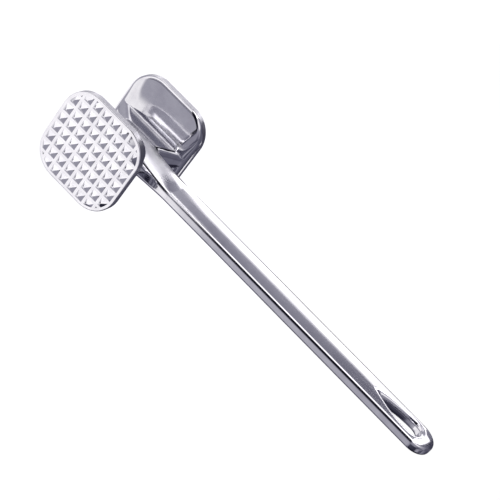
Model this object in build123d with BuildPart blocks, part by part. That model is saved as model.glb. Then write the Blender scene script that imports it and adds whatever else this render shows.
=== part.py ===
from build123d import *
import os

# Aluminium meat mallet, standing on its head with the handle up.
# X runs through the head, coarse face towards +X; Y is the flat side of the handle; Z runs up the handle.
# The origin is on the handle's axis, on the plane that the two striking plates stand on.
# Everything is in millimetres. Heights given "from the head" are above the centre of the head.

# ---- striking plates ----
FACE = 53.0                     # side of the square striking plates
FACE_CORNER = 16.0              # corner radius of their outline
PLATE = 3.9                     # slab thickness, seen as the rim
PLATE_EDGE = 0.5                # edge round on the rim
RIM_TO_RIM = 66.5               # over the two rims, without the teeth
FIELD_INSET = 1.9               # plain border between the rim and the toothed field
SPIGOT = (24.0, 12.0)           # spigot on the back of each plate, along Z and along Y
SPIGOT_DEPTH = 6.0
SPIGOT_CORNER = 4.0
POCKET_CLEARANCE = 0.05         # round the spigot, on each side
POCKET_FLOOR = 0.5              # gap under the spigot

# ---- teeth ----
COARSE = {"pitch": 6.35, "floor": 1.6, "tip": 0.7, "height": 2.0, "count": 8}
FINE = {"pitch": 4.2, "floor": 1.1, "tip": 0.5, "height": 1.4, "count": 12}
CUTTER_REACH = 1.2              # height of the groove cutter, in tooth heights

# ---- head ----
HEAD_Z = FACE / 2               # height of the head's centre
CUSHION = 7.4                   # length of the cushion at the end of each bell, along X
WEB_ROOT_X = 6.5                # where the web of each bell starts, out from the handle's axis
WEB_ROOT = {"length": 27.5, "width": 12.6, "corner": 2.0, "rise": 3.0}
WEB_END = {"length": 44.3, "width": 13.2, "corner": 2.5, "rise": 1.35}
CUSHION_FOOT = {"length": 44.3, "width": 16.0, "corner": 3.0, "rise": 1.35}
CUSHION_END = {"length": FACE, "width": FACE, "corner": 3.0}
OUTLINE = {"length": FACE, "width": FACE, "corner": FACE_CORNER}

# ---- neck and grip: half sizes of the section across the handle ----
HALF_WIDTH = 10.2               # half width along X, at the flat side bands
SHOULDER_X = 6.7                # where the side curve meets the top curve
SIDE_BULGE = 0.72               # how far up the side curve is at the middle of its width
NECK = {"band": 2.9, "shoulder": 6.4, "crown": 6.9}
GRIP = {"band": 2.5, "shoulder": 3.15, "crown": 3.6}
NECK_END = -11.5                # lower end of the neck, from the head
NECK_END_ROUND = 2.5
NECK_TOP = 17.0                 # where the neck starts to thin towards the grip
SEAM = 40.0                     # where the handle butts against the head's stub
TAIL = 225.3                    # end of the handle

# ---- hang slot, a teardrop with its point towards the head ----
SLOT_TIP = 188.5
SLOT_END = 216.2
SLOT_RADIUS = 5.4
SLOT_TIP_RADIUS = 1.0

# ---- tang and its spring pin ----
TANG = (12.0, 4.6)              # along X and along Y
TANG_LENGTH = 34.0
TANG_CLEARANCE = 0.05           # on each side
TANG_END_GAP = 1.0
PIN_RADIUS = 2.0
PIN_WALL = 0.8
PIN_SLIT = 0.9
PIN_CLEARANCE = 0.05
PIN_HEIGHT = 24.0               # from the head
PIN_OUTER = 5.2                 # its outer end, short of the neck's surface
PIN_INNER = 4.2                 # its blind end, past the axis

os.makedirs("parts", exist_ok=True)

# ---- places worked out from the sizes above ----
tip_to_tip = RIM_TO_RIM + COARSE["height"] + FINE["height"]
coarse_joint = tip_to_tip / 2 - COARSE["height"] - PLATE
fine_joint = -(tip_to_tip / 2 - FINE["height"] - PLATE)
tail_centre = TAIL - HALF_WIDTH
pin_plane = Plane(origin=(0, PIN_OUTER, HEAD_Z + PIN_HEIGHT), x_dir=(1, 0, 0), z_dir=(0, -1, 0))
slot_plane = Plane(origin=(0, 0, HEAD_Z), x_dir=(1, 0, 0), z_dir=(0, -1, 0))


def across(x, outward):
    """Plane square to X at x, facing outward (+1 or -1), its own x up the handle, centred on the head."""
    return Plane(origin=(x, 0, HEAD_Z), x_dir=(0, 0, 1), z_dir=(outward, 0, 0))


def along(height):
    """Plane square to the handle, at a height from the head."""
    return Plane(origin=(0, 0, HEAD_Z + height), x_dir=(1, 0, 0), z_dir=(0, 0, 1))


def rounded(plane, length, width, corner, rise=0.0):
    """Rounded rectangle on a plane square to X: length along Z, width along Y."""
    with BuildSketch(plane) as outline:
        with Locations((rise, 0)):
            RectangleRounded(length, width, corner)
    return outline.sketch


def bar_section(height, band, shoulder, crown):
    """Section of the neck or grip: a flat band on each side, joined by crowned faces."""
    blend = ((HALF_WIDTH + SHOULDER_X) / 2, band + (shoulder - band) * SIDE_BULGE)
    with BuildSketch(along(height)) as section:
        with BuildLine():
            for side in (1, -1):
                band_end = (side * HALF_WIDTH, side * band)
                near = (side * SHOULDER_X, side * shoulder)
                far = (-side * SHOULDER_X, side * shoulder)
                next_band = (-side * HALF_WIDTH, side * band)
                Line((side * HALF_WIDTH, -side * band), band_end)
                ThreePointArc(band_end, (side * blend[0], side * blend[1]), near)
                ThreePointArc(near, (0, side * crown), far)
                ThreePointArc(far, (-side * blend[0], side * blend[1]), next_band)
        make_face()
    return section.sketch


def cushion(joint, outward):
    """The flared end of a bell, up to the joint with its striking plate, before its corners are rounded."""
    foot = rounded(across(joint - outward * CUSHION, outward), **CUSHION_FOOT)
    end = rounded(across(joint, outward), **CUSHION_END)
    loft(sections=[foot, end], ruled=True)


def web(joint, outward):
    """The flat part of a bell, from inside the neck out to the foot of its cushion."""
    root = rounded(across(outward * WEB_ROOT_X, outward), **WEB_ROOT)
    end = rounded(across(joint - outward * CUSHION, outward), **WEB_END)
    loft(sections=[root, end], ruled=True)


def spigot_pocket(joint, outward):
    """Pocket in the end of a bell for the spigot of its striking plate."""
    length, width = (size + 2 * POCKET_CLEARANCE for size in SPIGOT)
    mouth = rounded(across(joint, -outward), length, width, SPIGOT_CORNER + POCKET_CLEARANCE)
    extrude(mouth, amount=SPIGOT_DEPTH + POCKET_FLOOR, mode=Mode.SUBTRACT)


def plate_blank(joint, outward):
    """Slab with its rounded rim, and the spigot on its back."""
    extrude(rounded(across(joint, outward), **OUTLINE), amount=PLATE)
    fillet(edges().group_by(Axis.X)[-1 if outward > 0 else 0], PLATE_EDGE)
    extrude(rounded(across(joint, -outward), *SPIGOT, SPIGOT_CORNER), amount=SPIGOT_DEPTH)


def teeth(joint, outward, pitch, floor, tip, height, count):
    """Pyramid teeth on the face of a plate: one raised block, cut by grooves both ways."""
    rim = joint + outward * PLATE
    flank = (pitch - floor - tip) / 2
    field = count * pitch - floor
    corner = FACE_CORNER - FIELD_INSET
    tips = field - 2 * flank
    foot = rounded(across(rim, outward), field, field, corner)
    top = rounded(across(rim + outward * height, outward), tips, tips, corner - flank)
    loft(sections=[foot, top], ruled=True)

    half = floor / 2
    wide = half + flank * CUTTER_REACH
    groove = ((-half, 0), (half, 0), (wide, height * CUTTER_REACH), (-wide, height * CUTTER_REACH))
    places = [(step * pitch, 0) for step in range(1 - count // 2, count // 2)]
    for x_dir, z_dir in (((0, 0, 1), (0, outward, 0)), ((0, 1, 0), (0, 0, -outward))):
        with BuildSketch(Plane(origin=(rim, 0, HEAD_Z), x_dir=x_dir, z_dir=z_dir)) as grooves:
            with Locations(*places):
                Polygon(*groove, align=None)
        extrude(grooves.sketch, amount=FACE / 2, both=True, mode=Mode.SUBTRACT)


# ---- head core: neck, stub and the two bells, with pockets for the plates, the tang and the pin ----
with BuildPart() as head_core:
    extrude(bar_section(NECK_END, **NECK), amount=NECK_TOP - NECK_END)
    fillet(edges().group_by(Axis.Z)[0], NECK_END_ROUND)
    loft(sections=[bar_section(NECK_TOP, **NECK), bar_section(SEAM, **GRIP)], ruled=True)
    for joint, outward in ((coarse_joint, 1), (fine_joint, -1)):
        web(joint, outward)
        cushion(joint, outward)
    with BuildSketch(across(fine_joint, 1)) as corners:
        Rectangle(FACE, FACE)
        RectangleRounded(FACE, FACE, FACE_CORNER, mode=Mode.SUBTRACT)
    extrude(corners.sketch, amount=coarse_joint - fine_joint, mode=Mode.SUBTRACT)
    spigot_pocket(coarse_joint, 1)
    spigot_pocket(fine_joint, -1)
    with BuildSketch(along(SEAM)):
        Rectangle(TANG[0] + 2 * TANG_CLEARANCE, TANG[1] + 2 * TANG_CLEARANCE)
    extrude(amount=-(TANG_LENGTH + TANG_END_GAP), mode=Mode.SUBTRACT)
    with BuildSketch(pin_plane.offset(PIN_OUTER - FACE)):
        Circle(PIN_RADIUS + PIN_CLEARANCE)
    extrude(amount=FACE + PIN_INNER, mode=Mode.SUBTRACT)
head_core.part.label = "head_core"
export_step(head_core.part, "parts/head_core.step")

# ---- coarse striking plate ----
with BuildPart() as coarse_face_plate:
    plate_blank(coarse_joint, 1)
    teeth(coarse_joint, 1, **COARSE)
coarse_face_plate.part.label = "coarse_face_plate"
export_step(coarse_face_plate.part, "parts/coarse_face_plate.step")

# ---- fine striking plate ----
with BuildPart() as fine_face_plate:
    plate_blank(fine_joint, -1)
    teeth(fine_joint, -1, **FINE)
fine_face_plate.part.label = "fine_face_plate"
export_step(fine_face_plate.part, "parts/fine_face_plate.step")

# ---- handle: grip bar with a round crowned tail, a hang slot and a tang ----
with BuildPart() as handle:
    extrude(bar_section(SEAM, **GRIP), amount=tail_centre - SEAM)
    with BuildSketch(along(tail_centre)) as half_section:
        add(bar_section(tail_centre, **GRIP))
        split(bisect_by=Plane.YZ)
    revolve(axis=Axis((0, 0, HEAD_Z + tail_centre), (0, 1, 0)), revolution_arc=-180)
    with BuildSketch(slot_plane):
        with BuildLine():
            centre = SLOT_END - SLOT_RADIUS
            TangentArc((SLOT_RADIUS, centre), (0, SLOT_TIP), tangent=(0, -1))
            TangentArc((-SLOT_RADIUS, centre), (0, SLOT_TIP), tangent=(0, -1))
            ThreePointArc((-SLOT_RADIUS, centre), (0, SLOT_END), (SLOT_RADIUS, centre))
        make_face()
        fillet(vertices().sort_by(Axis.Y)[0], SLOT_TIP_RADIUS)
    extrude(amount=FACE, both=True, mode=Mode.SUBTRACT)
    with BuildSketch(along(SEAM)):
        Rectangle(*TANG)
    extrude(amount=-TANG_LENGTH)
    with BuildSketch(pin_plane):
        Circle(PIN_RADIUS + PIN_CLEARANCE)
    extrude(amount=PIN_OUTER + PIN_INNER, mode=Mode.SUBTRACT)
handle.part.label = "handle"
export_step(handle.part, "parts/handle.step")

# ---- slotted spring pin that holds the tang ----
with BuildPart() as tang_pin:
    with BuildSketch(pin_plane):
        Circle(PIN_RADIUS)
        Circle(PIN_RADIUS - PIN_WALL, mode=Mode.SUBTRACT)
        with Locations((0, PIN_RADIUS)):
            Rectangle(PIN_SLIT, 2 * PIN_RADIUS, mode=Mode.SUBTRACT)
    extrude(amount=PIN_OUTER + PIN_INNER)
tang_pin.part.label = "tang_pin"
export_step(tang_pin.part, "parts/tang_pin.step")
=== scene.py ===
import math

import bmesh
import bpy
import numpy as np
from mathutils import Matrix, Vector


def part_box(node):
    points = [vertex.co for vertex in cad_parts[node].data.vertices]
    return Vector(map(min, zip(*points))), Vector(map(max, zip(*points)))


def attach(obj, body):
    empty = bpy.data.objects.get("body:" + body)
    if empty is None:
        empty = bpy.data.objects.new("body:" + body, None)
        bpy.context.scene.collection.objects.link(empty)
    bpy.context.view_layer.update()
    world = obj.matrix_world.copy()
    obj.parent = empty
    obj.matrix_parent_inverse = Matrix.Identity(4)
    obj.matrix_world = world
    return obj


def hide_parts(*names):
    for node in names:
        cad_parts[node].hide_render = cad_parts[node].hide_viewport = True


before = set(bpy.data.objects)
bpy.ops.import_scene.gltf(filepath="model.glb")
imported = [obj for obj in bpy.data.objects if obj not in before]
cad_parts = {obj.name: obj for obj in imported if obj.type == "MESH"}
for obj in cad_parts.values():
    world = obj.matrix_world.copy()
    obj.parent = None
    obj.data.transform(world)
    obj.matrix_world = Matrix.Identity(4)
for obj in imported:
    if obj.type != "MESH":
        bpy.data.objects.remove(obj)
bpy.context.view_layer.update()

# Polished cast meat mallet. Shapes are worked out in millimetres: x through the head,
# y square to the handle's flat side, a up the handle from the height of the head's centre.
# Meshes are then put in the frame's metres.
MM = 0.001

# ---------------------------------------------------------------- sizes read from the frame
core_low, core_high = (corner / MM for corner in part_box("head_core"))
handle_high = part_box("handle")[1] / MM
HALF_FACE = core_high.y
HEAD_Z = HALF_FACE                      # the head stands on the side of its square plates
COARSE_JOINT = core_high.x
FINE_JOINT = core_low.x
HEAD_MIDDLE = (COARSE_JOINT + FINE_JOINT) / 2
JOINT = (COARSE_JOINT - FINE_JOINT) / 2     # from the middle of the head to each plate
SEAM = core_high.z - HEAD_Z             # where the handle butts against the stub
TAIL = handle_high.z - HEAD_Z
HALF_WIDTH = handle_high.x
TAIL_CENTRE = TAIL - HALF_WIDTH

# ---------------------------------------------------------------- sizes of the polished shapes
FACE_CORNER = 16.0
NECK = {"band": 3.4, "crown": 6.9, "power": 3.0}
GRIP = {"band": 2.5, "crown": 3.6, "power": 2.4}
TAPER = (16.0, 38.5)                    # the neck thins to the grip between these heights
NECK_END = -11.5
WEB_TOP = {"foot": 4.8, "slope": 0.103, "most": 6.1}    # half thickness of each bell's flat part
LOW_SIDE = (9.9, -11.5, -0.769)         # a bell's lower side: x, height there, slope
HIGH_SIDE = (10.1, 17.1, 0.487)         # its upper side
CUSHION = 7.4                           # length of the cushion along x
CUSHION_FOOT = 8.0                      # half thickness of the cushion at its foot
CUSHION_SHORT = 0.9                     # its slope reaches the outline this far before the plate
CUSHION_INSET = 0.2                     # its sides lie this far inside the bell's sides
SLOT_CENTRE = TAIL - 14.5
SLOT_RADIUS = 5.4
SLOT_TIP = 188.0
PIN_HEIGHT = 24.0
PIN_HOLE = 2.05
PIN_BLIND_END = -4.2                    # where the pin hole stops, along y

# Smoothing sizes: a larger one rounds its edge or its inner corner further.
BAR_EDGE = 1.6
NECK_END_EDGE = 4.0
WEB_TOP_BEND = 1.0
BELL_CORNER = 2.0
WEB_EDGE = 4.0
NECK_TO_WEB = 2.0
CUSHION_FOOT_EDGE = 3.0
CUSHION_SIDE_EDGE = 5.0
CUSHION_OUTLINE_EDGE = 2.0
WEB_TO_CUSHION = 0.6
PIN_HOLE_EDGE = 0.5
SLOT_POINT = 2.0
SLOT_EDGE = 3.0

# ---------------------------------------------------------------- sizes of the meshes
PITCH = 0.5
MARGIN = 1                              # the nets reach this far past the sizes read from the frame
SETTLE_ROUNDS = 4
RELAX_ROUNDS = 3
RELAX_STEP = 0.5                        # share of the way to the middle of its neighbours
SAME_PLANE = {"cosine": 0.9999, "distance": 1e-4}
PLATE_BEVEL = {"coarse": 0.06 * MM, "fine": 0.05 * MM}
WELD_DISTANCE = 1e-6
FLAT_ANGLE = math.radians(1)            # facets closer than this to one plane are joined
BEVEL_ANGLE = math.radians(30)          # edges sharper than this are bevelled
SHARP_ANGLE = math.radians(28)          # and edges sharper than this stay sharp in shading
RIM_BAND = 0.5                          # the rim's finish reaches this far in from the outline


# ---------------------------------------------------------------- implicit shapes
def smooth_max(a, b, size):
    """Larger of two fields, rounded over where they differ by less than size."""
    near = np.maximum(size - np.abs(a - b), 0) / size
    return np.maximum(a, b) + near * near * size / 4


def smooth_min(a, b, size):
    return -smooth_max(-a, -b, size)


def ramp(x, low, high, rounded=0.12):
    """0 below low, 1 above high, straight between them with short rounded ends."""
    return smooth_min(smooth_max((x - low) / (high - low), 0.0, rounded), 1.0, rounded)


def bar(reach, y, a):
    """Neck and grip: crowned above a flat band at the side. reach is how far out from the axis."""
    t = ramp(a, *TAPER)
    band, crown, power = (NECK[key] + (GRIP[key] - NECK[key]) * t for key in ("band", "crown", "power"))
    top = band + (crown - band) * (1 - np.clip(reach / HALF_WIDTH, 0, 1.2) ** power)
    return smooth_max(np.abs(y) - top, reach - HALF_WIDTH, BAR_EDGE)


def side(c, a, start, outward):
    """Distance past a bell's lower or upper side. c is how far along x from the head's middle."""
    x, height, slope = start
    return outward * (a - height - slope * (c - x)) / math.hypot(1, slope)


def web_field(c, y, sides):
    """The flat part of both bells, from the neck out into their cushions."""
    top = WEB_TOP["foot"] + WEB_TOP["slope"] * (JOINT - CUSHION - c)
    top = smooth_min(top, WEB_TOP["most"], WEB_TOP_BEND)
    return np.maximum(smooth_max(sides, np.abs(y) - top, WEB_EDGE), c - JOINT + CUSHION / 2)


def cushion_field(c, y, a, sides):
    """The flared end of both bells, out to the plates."""
    foot = JOINT - CUSHION
    rise, run = HALF_FACE - CUSHION_FOOT, CUSHION - CUSHION_SHORT
    slope = (run * (np.abs(y) - CUSHION_FOOT) - rise * (c - foot)) / math.hypot(rise, run)
    cushion = smooth_max(slope, foot - c, CUSHION_FOOT_EDGE)
    cushion = smooth_max(cushion, sides + CUSHION_INSET, CUSHION_SIDE_EDGE)
    past_corner = [np.maximum(np.abs(along) - HALF_FACE + FACE_CORNER, 0) for along in (a, y)]
    return smooth_max(cushion, np.hypot(*past_corner) - FACE_CORNER, CUSHION_OUTLINE_EDGE)


def core_field(x, y, a):
    """Neck, stub of the handle and both bells, with the hole for the spring pin."""
    c = np.abs(x - HEAD_MIDDLE)
    sides = smooth_max(side(c, a, LOW_SIDE, -1), side(c, a, HIGH_SIDE, 1), BELL_CORNER)
    neck = smooth_max(bar(np.abs(x), y, a), NECK_END - a, NECK_END_EDGE)
    body = smooth_min(neck, web_field(c, y, sides), NECK_TO_WEB)
    body = smooth_min(body, cushion_field(c, y, a, sides), WEB_TO_CUSHION)
    hole = np.maximum(np.hypot(x, a - PIN_HEIGHT) - PIN_HOLE, PIN_BLIND_END - y)
    return smooth_max(body, -hole, PIN_HOLE_EDGE)


def handle_field(x, y, a):
    """The bar with its round tail and its teardrop slot, whose two flanks are arcs."""
    past = np.maximum(a - TAIL_CENTRE, 0)
    body = bar(np.hypot(x, past), y, a)
    up = np.minimum(a - SLOT_CENTRE, 0)
    radius = (SLOT_RADIUS ** 2 + (SLOT_CENTRE - SLOT_TIP) ** 2) / (2 * SLOT_RADIUS)
    near_flank = np.hypot(np.abs(x) + radius - SLOT_RADIUS, up) - radius
    far_flank = np.hypot(-np.abs(x) + radius - SLOT_RADIUS, up) - radius
    end = np.hypot(x, a - SLOT_CENTRE) - SLOT_RADIUS
    slot = np.where(a < SLOT_CENTRE, smooth_max(near_flank, far_flank, SLOT_POINT), end)
    return smooth_max(body, -slot, SLOT_EDGE)


# ---------------------------------------------------------------- mesh from an implicit shape
def gradient(field, points, reach=0.02):
    steps = []
    for axis in range(3):
        move = np.zeros(3)
        move[axis] = reach
        steps.append(field(*(points + move).T) - field(*(points - move).T))
    return np.stack(steps, axis=1) / (2 * reach)


def settle(field, points):
    """Moves points straight onto the surface."""
    for _ in range(SETTLE_ROUNDS):
        slope = gradient(field, points)
        points = points - slope * (field(*points.T) / np.maximum((slope ** 2).sum(1), 1e-9))[:, None]
    return points


def surface_net(field, low, high):
    """Quads round field = 0, one point in each cell that the surface crosses."""
    counts = np.ceil((np.array(high) - low) / PITCH).astype(int) + 1
    axes = [low[i] + PITCH * np.arange(counts[i]) for i in range(3)]
    values = field(axes[0][:, None, None], axes[1][None, :, None], axes[2][None, None, :])
    cells = counts - 1
    total, hits = np.zeros((*cells, 3)), np.zeros(cells)
    crossings = []
    for axis in range(3):
        u, v = (axis + 1) % 3, (axis + 2) % 3
        first = np.take(values, np.arange(cells[axis]), axis)
        second = np.take(values, np.arange(1, counts[axis]), axis)
        crossed = (first < 0) != (second < 0)
        share = np.where(crossed, first / np.where(crossed, first - second, 1), 0)
        crossings.append((crossed, first < 0))
        for du in (0, 1):
            for dv in (0, 1):
                part = [slice(None)] * 3
                part[u], part[v] = slice(du, du + cells[u]), slice(dv, dv + cells[v])
                part = tuple(part)
                hits += crossed[part]
                total[..., axis] += share[part]
                total[..., u] += crossed[part] * du
                total[..., v] += crossed[part] * dv
    active = hits > 0
    number = np.full(cells, -1)
    number[active] = np.arange(active.sum())
    points = np.argwhere(active) + total[active] / hits[active][:, None]
    quads = []
    for axis in range(3):
        u, v = (axis + 1) % 3, (axis + 2) % 3
        crossed, starts_inside = crossings[axis]
        where = np.argwhere(crossed)
        for across in (u, v):
            where = where[(where[:, across] > 0) & (where[:, across] < cells[across])]
        ring = []
        for du, dv in ((1, 1), (0, 1), (0, 0), (1, 0)):
            cell = where.copy()
            cell[:, u] -= du
            cell[:, v] -= dv
            ring.append(number[tuple(cell.T)])
        ring = np.stack(ring, axis=1)
        flipped = ~starts_inside[tuple(where.T)]
        ring[flipped] = ring[flipped][:, ::-1]
        quads.append(ring)
    return low + PITCH * points, np.concatenate(quads)


def relax(field, points, quads):
    """Evens out the quads without leaving the surface."""
    ends = np.concatenate([quads, np.roll(quads, 1, axis=1)]).reshape(-1)
    others = np.concatenate([np.roll(quads, 1, axis=1), quads]).reshape(-1)
    degree = np.bincount(ends, minlength=len(points))[:, None]
    for _ in range(RELAX_ROUNDS):
        around = np.stack([np.bincount(ends, points[others, i], len(points)) for i in range(3)], axis=1)
        points = settle(field, points + RELAX_STEP * (around / degree - points))
    return points


def cut_off(mesh, cuts):
    """Cuts a closed mesh off at planes, and closes each cut with one face."""
    work = bmesh.new()
    work.from_mesh(mesh)
    for point, normal in cuts:
        everything = work.verts[:] + work.edges[:] + work.faces[:]
        cut = bmesh.ops.bisect_plane(work, geom=everything, plane_co=point, plane_no=normal, clear_outer=True)
        rim = [e for e in cut["geom_cut"] if isinstance(e, bmesh.types.BMEdge)]
        bmesh.ops.contextual_create(work, geom=rim)
    work.to_mesh(mesh)
    work.free()


def shade(mesh, field, cuts):
    """Smooth normals from the field itself, and flat ones on the cuts."""
    caps = [(Vector(point), Vector(normal)) for point, normal in cuts]
    corner_points = np.array([v.co for v in mesh.vertices])
    slopes = gradient(field, corner_points)
    slopes /= np.linalg.norm(slopes, axis=1)[:, None]
    normals = slopes[np.array([loop.vertex_index for loop in mesh.loops])]
    for face in mesh.polygons:
        face.use_smooth = True
        if any(
            face.normal.dot(normal) > SAME_PLANE["cosine"]
            and abs((face.center - point).dot(normal)) < SAME_PLANE["distance"]
            for point, normal in caps
        ):
            normals[face.loop_start:face.loop_start + face.loop_total] = face.normal
    mesh.normals_split_custom_set([tuple(n) for n in normals])


def implicit_piece(name, field, low, high, cuts):
    """An object for field < 0, cut off at planes: (point, outward normal) pairs."""
    low, high = np.array(low, float), np.array(high, float)
    points, quads = surface_net(field, low, high)
    points = relax(field, settle(field, points), quads)
    mesh = bpy.data.meshes.new(name)
    mesh.from_pydata(points.tolist(), [], quads.tolist())
    cut_off(mesh, cuts)
    shade(mesh, field, cuts)
    mesh.transform(Matrix.Translation((0, 0, HEAD_Z * MM)) @ Matrix.Scale(MM, 4))
    piece = bpy.data.objects.new(name, mesh)
    bpy.context.scene.collection.objects.link(piece)
    return piece


# ---------------------------------------------------------------- toothed plates
def plate_piece(name, node, edge):
    """The plate's own shape, with every edge broken by a small bevel. Its rim takes the second material."""
    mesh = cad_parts[node].data.copy()
    mesh.name = name
    mesh.materials.clear()
    work = bmesh.new()
    work.from_mesh(mesh)
    bmesh.ops.remove_doubles(work, verts=work.verts[:], dist=WELD_DISTANCE)
    bmesh.ops.dissolve_limit(work, angle_limit=FLAT_ANGLE, verts=work.verts[:], edges=work.edges[:])
    sharp = [e for e in work.edges if len(e.link_faces) == 2 and e.calc_face_angle() > BEVEL_ANGLE]
    bmesh.ops.bevel(
        work, geom=sharp, offset=edge, offset_type="OFFSET", segments=2, profile=0.5,
        affect="EDGES", clamp_overlap=True,
    )
    work.to_mesh(mesh)
    work.free()
    for face in mesh.polygons:
        face.use_smooth = True
        from_middle = math.hypot(face.center.y, face.center.z - HEAD_Z * MM)
        on_rim = abs(face.normal.x) < 0.5 and from_middle > (HALF_FACE - RIM_BAND) * MM
        face.material_index = int(on_rim)
    mesh.set_sharp_from_angle(angle=SHARP_ANGLE)
    piece = bpy.data.objects.new(name, mesh)
    bpy.context.scene.collection.objects.link(piece)
    flat = piece.modifiers.new("flat_facets", "WEIGHTED_NORMAL")
    flat.weight = 100
    flat.keep_sharp = True
    return piece


# ---------------------------------------------------------------- materials
MOTTLE_SCALE = 140.0
POLISH_SCALE = 420.0
RIPPLE_SCALE = 55.0
LINE_SCALE = 900.0
EVEN = (1, 1, 1)
ALONG_THE_BAR = (2, 2, 0.05)            # noise drawn out into lines up the handle
# Extra roughness on the neck, fading out between these distances from x = 0 and between these heights.
NECK_SATIN = {"extra": 0.32, "x_span": (0.0065, 0.0095), "z_span": (0.052, 0.064)}


def new_material(name):
    material = bpy.data.materials.new(name)
    material.use_nodes = True
    nodes = material.node_tree.nodes
    return material, nodes, material.node_tree.links, nodes["Principled BSDF"]


def add_noise(nodes, links, coords, scale, stretch, detail=3.0):
    """Noise with about scale times stretch waves to a metre along each axis."""
    mapping = nodes.new("ShaderNodeMapping")
    mapping.inputs["Scale"].default_value = stretch
    noise = nodes.new("ShaderNodeTexNoise")
    noise.inputs["Scale"].default_value = scale
    noise.inputs["Detail"].default_value = detail
    links.new(coords, mapping.inputs["Vector"])
    links.new(mapping.outputs["Vector"], noise.inputs["Vector"])
    return noise.outputs["Fac"]


def add_bump(nodes, links, height, distance, under=None):
    bump = nodes.new("ShaderNodeBump")
    bump.inputs["Strength"].default_value = 1.0
    bump.inputs["Distance"].default_value = distance
    links.new(height, bump.inputs["Height"])
    if under:
        links.new(under, bump.inputs["Normal"])
    return bump.outputs["Normal"]


def math_node(nodes, links, operation, *values):
    node = nodes.new("ShaderNodeMath")
    node.operation = operation
    for socket, value in zip(node.inputs, values):
        links.new(value, socket)
    return node.outputs[0]


def spread(nodes, links, value, low, high, span=(0.3, 0.7)):
    """Takes span to low and high. Noise stays mostly within the span given here."""
    remap = nodes.new("ShaderNodeMapRange")
    remap.inputs["From Min"].default_value, remap.inputs["From Max"].default_value = span
    remap.inputs["To Min"].default_value, remap.inputs["To Max"].default_value = low, high
    links.new(value, remap.inputs["Value"])
    return remap.outputs["Result"]


def metal(name, dark, light, rough, ripple=0.0, brush_depth=0.0, satin=None):
    """Polished metal: faint colour mottling, uneven polish, long ripples and fine polishing lines.

    rough is the least and the most roughness. ripple and brush_depth are depths in metres, and
    only a metal with a brush_depth has the lines. satin is a duller patch, such as NECK_SATIN.
    """
    material, nodes, links, shader = new_material(name)
    coords = nodes.new("ShaderNodeTexCoord").outputs["Object"]
    stretch = ALONG_THE_BAR if brush_depth else EVEN
    shader.inputs["Metallic"].default_value = 1.0

    mottle = add_noise(nodes, links, coords, MOTTLE_SCALE, EVEN)
    mix = nodes.new("ShaderNodeMix")
    mix.data_type = "RGBA"
    mix.inputs["A"].default_value = (*dark, 1)
    mix.inputs["B"].default_value = (*light, 1)
    links.new(spread(nodes, links, mottle, 0, 1), mix.inputs["Factor"])
    links.new(mix.outputs["Result"], shader.inputs["Base Color"])

    roughness = spread(nodes, links, add_noise(nodes, links, coords, POLISH_SCALE, stretch), *rough)
    if satin:
        place = nodes.new("ShaderNodeSeparateXYZ")
        links.new(coords, place.inputs[0])
        aside = math_node(nodes, links, "ABSOLUTE", place.outputs["X"])
        near = spread(nodes, links, aside, satin["extra"], 0, satin["x_span"])
        below = spread(nodes, links, place.outputs["Z"], 1, 0, satin["z_span"])
        patch = math_node(nodes, links, "MULTIPLY", near, below)
        roughness = math_node(nodes, links, "ADD", roughness, patch)
    links.new(roughness, shader.inputs["Roughness"])

    normal = None
    if ripple:
        waves = add_noise(nodes, links, coords, RIPPLE_SCALE, EVEN, detail=1.0)
        normal = add_bump(nodes, links, waves, ripple)
    if brush_depth:
        lines = add_noise(nodes, links, coords, LINE_SCALE, stretch)
        normal = add_bump(nodes, links, lines, brush_depth, under=normal)
    if normal:
        links.new(normal, shader.inputs["Normal"])
    return material


# ---------------------------------------------------------------- studio
BACKDROP = 1.02                         # brightness of the white that the camera sees
FLOOR_RADIUS = 0.9


def tone(brightness):
    """Grey of a studio panel, a little cool, and cooler as it gets darker."""
    cool = max(brightness, brightness ** 0.86)
    return (brightness, 0.98 * brightness, cool, 1)


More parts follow.
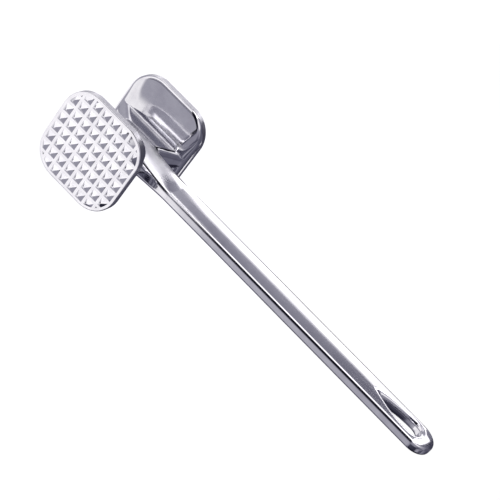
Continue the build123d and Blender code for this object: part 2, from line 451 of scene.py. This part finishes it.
def build_world(rings):
    """White to the camera. What the metal reflects is rings of soft panels, one above the other.

    rings go from the floor up. Each is the heights in degrees between which it takes over from
    the ring below, which the lowest doesn't use, and its panels as (degrees round from +X, brightness).
    """
    world = bpy.data.worlds.new("studio")
    bpy.context.scene.world = world
    world.use_nodes = True
    nodes, links = world.node_tree.nodes, world.node_tree.links
    nodes.clear()
    out = nodes.new("ShaderNodeOutputWorld")
    direction = nodes.new("ShaderNodeSeparateXYZ")
    links.new(nodes.new("ShaderNodeTexCoord").outputs["Generated"], direction.inputs[0])
    turn = math_node(nodes, links, "ARCTAN2", direction.outputs["Y"], direction.outputs["X"])
    height = math_node(nodes, links, "ARCSINE", direction.outputs["Z"])
    place = nodes.new("ShaderNodeMapRange")
    place.inputs["From Min"].default_value, place.inputs["From Max"].default_value = -math.pi, math.pi
    links.new(turn, place.inputs["Value"])

    colour = None
    for (start, full), panels in rings:
        ring = nodes.new("ShaderNodeValToRGB")
        ring.color_ramp.interpolation = "EASE"
        stops = ring.color_ramp.elements
        while len(stops) < len(panels):
            stops.new(0.5)
        for stop, (degrees, brightness) in zip(stops, panels):
            stop.position = degrees / 360 + 0.5
            stop.color = tone(brightness)
        links.new(place.outputs["Result"], ring.inputs["Fac"])
        if colour is None:
            colour = ring.outputs["Color"]
            continue
        rise = nodes.new("ShaderNodeMapRange")
        rise.interpolation_type = "SMOOTHSTEP"
        rise.inputs["From Min"].default_value = math.radians(start)
        rise.inputs["From Max"].default_value = math.radians(full)
        links.new(height, rise.inputs["Value"])
        mix = nodes.new("ShaderNodeMix")
        mix.data_type = "RGBA"
        links.new(rise.outputs["Result"], mix.inputs["Factor"])
        links.new(colour, mix.inputs["A"])
        links.new(ring.outputs["Color"], mix.inputs["B"])
        colour = mix.outputs["Result"]

    reflected = nodes.new("ShaderNodeBackground")
    links.new(colour, reflected.inputs["Color"])
    reflected.inputs["Strength"].default_value = 1.0
    backdrop = nodes.new("ShaderNodeBackground")
    backdrop.inputs["Color"].default_value = (1, 1, 1, 1)
    backdrop.inputs["Strength"].default_value = BACKDROP
    seen = nodes.new("ShaderNodeLightPath")
    choose = nodes.new("ShaderNodeMixShader")
    links.new(seen.outputs["Is Camera Ray"], choose.inputs[0])
    links.new(reflected.outputs[0], choose.inputs[1])
    links.new(backdrop.outputs[0], choose.inputs[2])
    links.new(choose.outputs[0], out.inputs["Surface"])


def build_floor():
    """White disc that the metal doesn't reflect, because the rings stand for the floor as well."""
    mesh = bpy.data.meshes.new("floor")
    work = bmesh.new()
    bmesh.ops.create_circle(work, cap_ends=True, segments=96, radius=FLOOR_RADIUS)
    work.to_mesh(mesh)
    work.free()
    floor = bpy.data.objects.new("floor", mesh)
    bpy.context.scene.collection.objects.link(floor)
    material, _, _, shader = new_material("floor_white")
    shader.inputs["Base Color"].default_value = (0.9, 0.9, 0.9, 1)
    shader.inputs["Roughness"].default_value = 0.9
    shader.inputs["Specular IOR Level"].default_value = 0.0
    shader.inputs["Emission Color"].default_value = (1, 1, 1, 1)
    shader.inputs["Emission Strength"].default_value = 0.9
    mesh.materials.append(material)
    floor.visible_glossy = False


def build_camera(aim, distance, azimuth, elevation, roll, lens):
    """Azimuth 0 looks along +Y. roll turns the camera about its own line of sight."""
    azimuth, elevation, roll = (math.radians(angle) for angle in (azimuth, elevation, roll))
    back = Vector((
        math.sin(azimuth) * math.cos(elevation),
        -math.cos(azimuth) * math.cos(elevation),
        math.sin(elevation),
    ))
    level = Vector((0, 0, 1)).cross(back).normalized()
    upright = back.cross(level)
    up = upright * math.cos(roll) - level * math.sin(roll)
    right = level * math.cos(roll) + upright * math.sin(roll)
    data = bpy.data.cameras.new("camera")
    data.lens = lens
    data.sensor_width = 36.0
    data.clip_start, data.clip_end = 0.05, 20.0
    camera = bpy.data.objects.new("camera", data)
    bpy.context.scene.collection.objects.link(camera)
    turned = Matrix((right, up, back)).transposed().to_4x4()
    camera.matrix_world = Matrix.Translation(Vector(aim) + back * distance) @ turned
    bpy.context.scene.camera = camera


# ---------------------------------------------------------------- the mallet
core = implicit_piece(
    "head_casting", core_field,
    (FINE_JOINT - MARGIN, -HALF_FACE - MARGIN, -HALF_FACE - MARGIN),
    (COARSE_JOINT + MARGIN, HALF_FACE + MARGIN, SEAM + MARGIN),
    [((COARSE_JOINT, 0, 0), (1, 0, 0)), ((FINE_JOINT, 0, 0), (-1, 0, 0)), ((0, 0, SEAM), (0, 0, 1))],
)
grip = implicit_piece(
    "handle_bar", handle_field,
    (-HALF_WIDTH - MARGIN, -NECK["crown"], SEAM - MARGIN),
    (HALF_WIDTH + MARGIN, NECK["crown"], TAIL + MARGIN),
    [((0, 0, SEAM), (0, 0, -1))],
)
coarse = plate_piece("coarse_plate", "coarse_face_plate", PLATE_BEVEL["coarse"])
fine = plate_piece("fine_plate", "fine_face_plate", PLATE_BEVEL["fine"])

cast = metal(
    "polished_casting", dark=(0.74, 0.735, 0.77), light=(0.86, 0.86, 0.88), rough=(0.06, 0.11),
    ripple=0.00004, satin=NECK_SATIN,
)
brushed = metal(
    "polished_bar", dark=(0.74, 0.735, 0.77), light=(0.86, 0.86, 0.88), rough=(0.07, 0.13),
    ripple=0.00002, brush_depth=0.000002,
)
rim = metal("satin_rim", dark=(0.55, 0.545, 0.58), light=(0.66, 0.66, 0.69), rough=(0.3, 0.42))
toothed = metal(
    "toothed_plate", dark=(0.76, 0.755, 0.79), light=(0.88, 0.88, 0.90), rough=(0.08, 0.15), ripple=0.00001,
)
steel = metal("pin_steel", dark=(0.45, 0.45, 0.47), light=(0.58, 0.58, 0.6), rough=(0.28, 0.42))

for piece, node, slot, materials in (
    (core, "head_core", "head_casting", [cast]),
    (grip, "handle", "handle_bar", [brushed]),
    (coarse, "coarse_face_plate", "coarse_plate", [toothed, rim]),
    (fine, "fine_face_plate", "fine_plate", [toothed, rim]),
):
    for material in materials:
        piece.data.materials.append(material)
    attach(piece, "root")
    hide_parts(node)

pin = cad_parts["tang_pin"]
pin.data.materials.clear()
pin.data.materials.append(steel)

# ---------------------------------------------------------------- the studio's panels and camera
# Each panel's place and brightness is set for what the polished metal reflects there.
FLOOR_RING = [
    (-180, 0.42), (-140, 0.36), (-120, 0.4), (-105, 0.9), (-80, 1.2), (-30, 1.1), (30, 1.0), (108, 1.05),
    (125, 0.4), (180, 0.42),
]
LOW_RING = [
    (-180, 0.9), (-172, 1.8), (-157, 1.8), (-153, 0.42), (-130, 0.42), (-127.5, 2.2), (-124, 2.2),
    (-121, 0.45), (-108, 0.5), (-98, 0.8), (-79, 0.9), (-75, 1.3), (-54, 1.3), (-50, 0.2), (-37, 0.2),
    (-34.2, 0.25), (-33.2, 1.1), (-31.5, 1.1), (-30.5, 0.12), (-21, 0.12), (-17, 0.38), (-6, 0.4), (6, 1.0),
    (40, 1.15), (56, 0.55), (68, 0.35), (80, 0.12), (130, 0.12), (155, 0.4), (180, 0.9),
]
LEVEL_RING = [
    (-180, 0.06), (-172, 0.08), (-168.5, 1.9), (-151.5, 1.9), (-148.5, 0.34), (-136, 0.28), (-128, 0.25),
    (-121, 0.5), (-114, 1.9), (-95, 1.9), (-85, 0.8), (-76, 0.05), (-66, 0.004), (-14, 0.004), (4, 0.2),
    (18, 0.5), (45, 0.5), (58, 0.3), (75, 0.1), (130, 0.1), (155, 0.15), (165, 0.06), (180, 0.06),
]
HORIZON_RING = [
    (-180, 0.06), (-172, 0.08), (-168.5, 1.9), (-151.5, 1.9), (-148.5, 0.17), (-128, 0.13), (-121, 0.4),
    (-114, 1.9), (-95, 1.9), (-85, 0.8), (-76, 0.05), (-66, 0.004), (-14, 0.004), (4, 0.2), (18, 0.45),
    (45, 0.42), (75, 0.1), (130, 0.1), (155, 0.15), (165, 0.06), (180, 0.06),
]
RISE_RING = [
    (-180, 0.2), (-156, 0.2), (-152, 4.0), (-90, 4.0), (-80, 1.5), (-68, 0.1), (-15, 0.05), (5, 0.2),
    (30, 0.3), (60, 0.1), (130, 0.1), (155, 0.2), (180, 0.2),
]
HIGH_RING = [
    (-180, 0.05), (-150, 0.06), (-135, 0.15), (-118, 0.3), (-100, 0.5), (-75, 1.1), (-60, 1.1), (-45, 0.3),
    (-30, 0.35), (-10, 0.28), (10, 0.3), (24, 0.2), (29, 0.05), (50, 0.02), (130, 0.02), (140, 0.06),
    (152, 0.12), (165, 0.08), (180, 0.05),
]
TOP_RING = [
    (-180, 0.12), (-130, 0.12), (-100, 0.3), (-60, 0.35), (-30, 0.2), (20, 0.1), (44, 0.1), (50, 0.36),
    (64, 0.36), (70, 0.1), (98, 0.08), (107, 0.28), (116, 0.2), (124, 0.15), (140, 0.1), (180, 0.12),
]
build_world([
    ((-90, -90), FLOOR_RING),
    ((-50, -28), LOW_RING),
    ((-14, -12.3), LEVEL_RING),
    ((-8, 0), HORIZON_RING),
    ((1, 2.5), RISE_RING),
    ((7, 10), HIGH_RING),
    ((38, 50), TOP_RING),
])
build_floor()
build_camera(
    aim=(-0.00179, -0.00671, 0.11584), distance=0.68663,
    azimuth=59.93, elevation=10.13, roll=135.32, lens=96.1,
)
view_settings = bpy.context.scene.view_settings
view_settings.view_transform = "Standard"
view_settings.look = "None"
